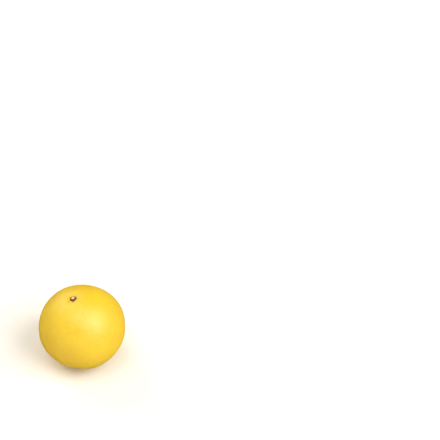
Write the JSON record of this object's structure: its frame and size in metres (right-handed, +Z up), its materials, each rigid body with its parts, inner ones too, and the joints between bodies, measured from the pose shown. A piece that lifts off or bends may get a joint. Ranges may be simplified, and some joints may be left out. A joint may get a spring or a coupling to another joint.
{
  "type": "pomelo",
  "caption": "Whole ripe yellow pomelo, a large round citrus fruit with a woody stem button, resting on a small flat spot.",
  "frame": {"origin": "middle of the base of the bounding box, on the small flat spot that the fruit rests on", "axes": "+Z up through the stem end, -Y the front, the stem button a little off the top towards -X"},
  "size_m": [0.1114, 0.111, 0.106],
  "materials": {
    "rind": "waxy satin citrus rind, golden yellow, with fine oil-gland pores",
    "stem_wood": "dry woody calyx, olive brown, with a pale tan cut stub"
  },
  "bodies": {
    "root": {"fruit": "rind", "stem_button": "stem_wood"}
  },
  "joints": []
}
